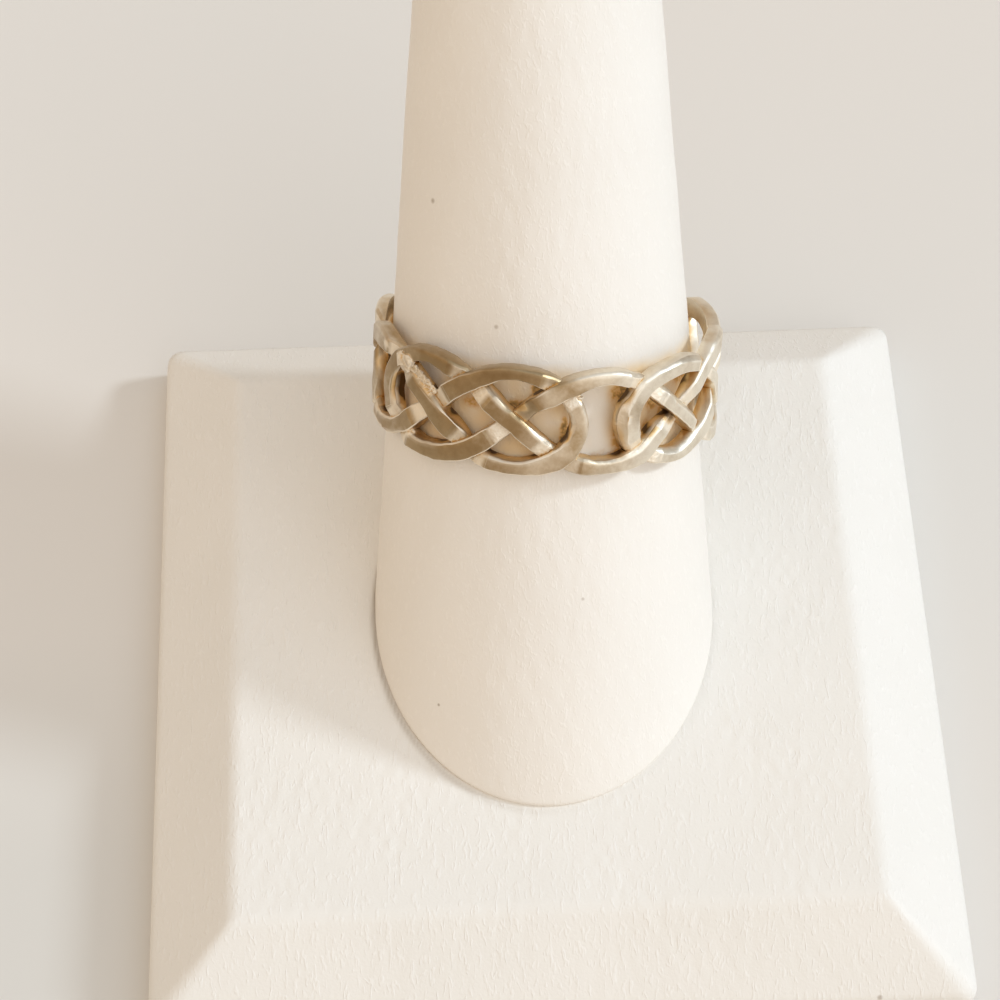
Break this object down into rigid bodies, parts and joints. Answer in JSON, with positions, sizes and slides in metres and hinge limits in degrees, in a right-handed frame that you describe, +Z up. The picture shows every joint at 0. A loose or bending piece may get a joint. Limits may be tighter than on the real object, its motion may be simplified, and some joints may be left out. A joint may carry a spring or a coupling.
{
  "type": "openwork ring on a slanted ring stand",
  "caption": "Openwork silver finger ring of interlaced knotwork straps, worn on the slanted leatherette finger of a small square display stand.",
  "frame": {"origin": "centre of the base's underside, on the surface that the stand rests on", "axes": "+Z up, +X to the right and -Y to the front, where the base slopes up to the foot of the finger, which leans towards +Y"},
  "size_m": [0.048, 0.0583, 0.0436],
  "materials": {
    "worn_silver": "worn polished silver, warm tarnish in the recesses",
    "finger_leatherette": "white leatherette with a fine creased grain",
    "base_leatherette": "white leatherette with a fine pebbled grain, slightly grey-pink"
  },
  "bodies": {
    "root": {"ring_band": "worn_silver", "finger_cone": "finger_leatherette", "display_base": "base_leatherette"}
  },
  "joints": []
}
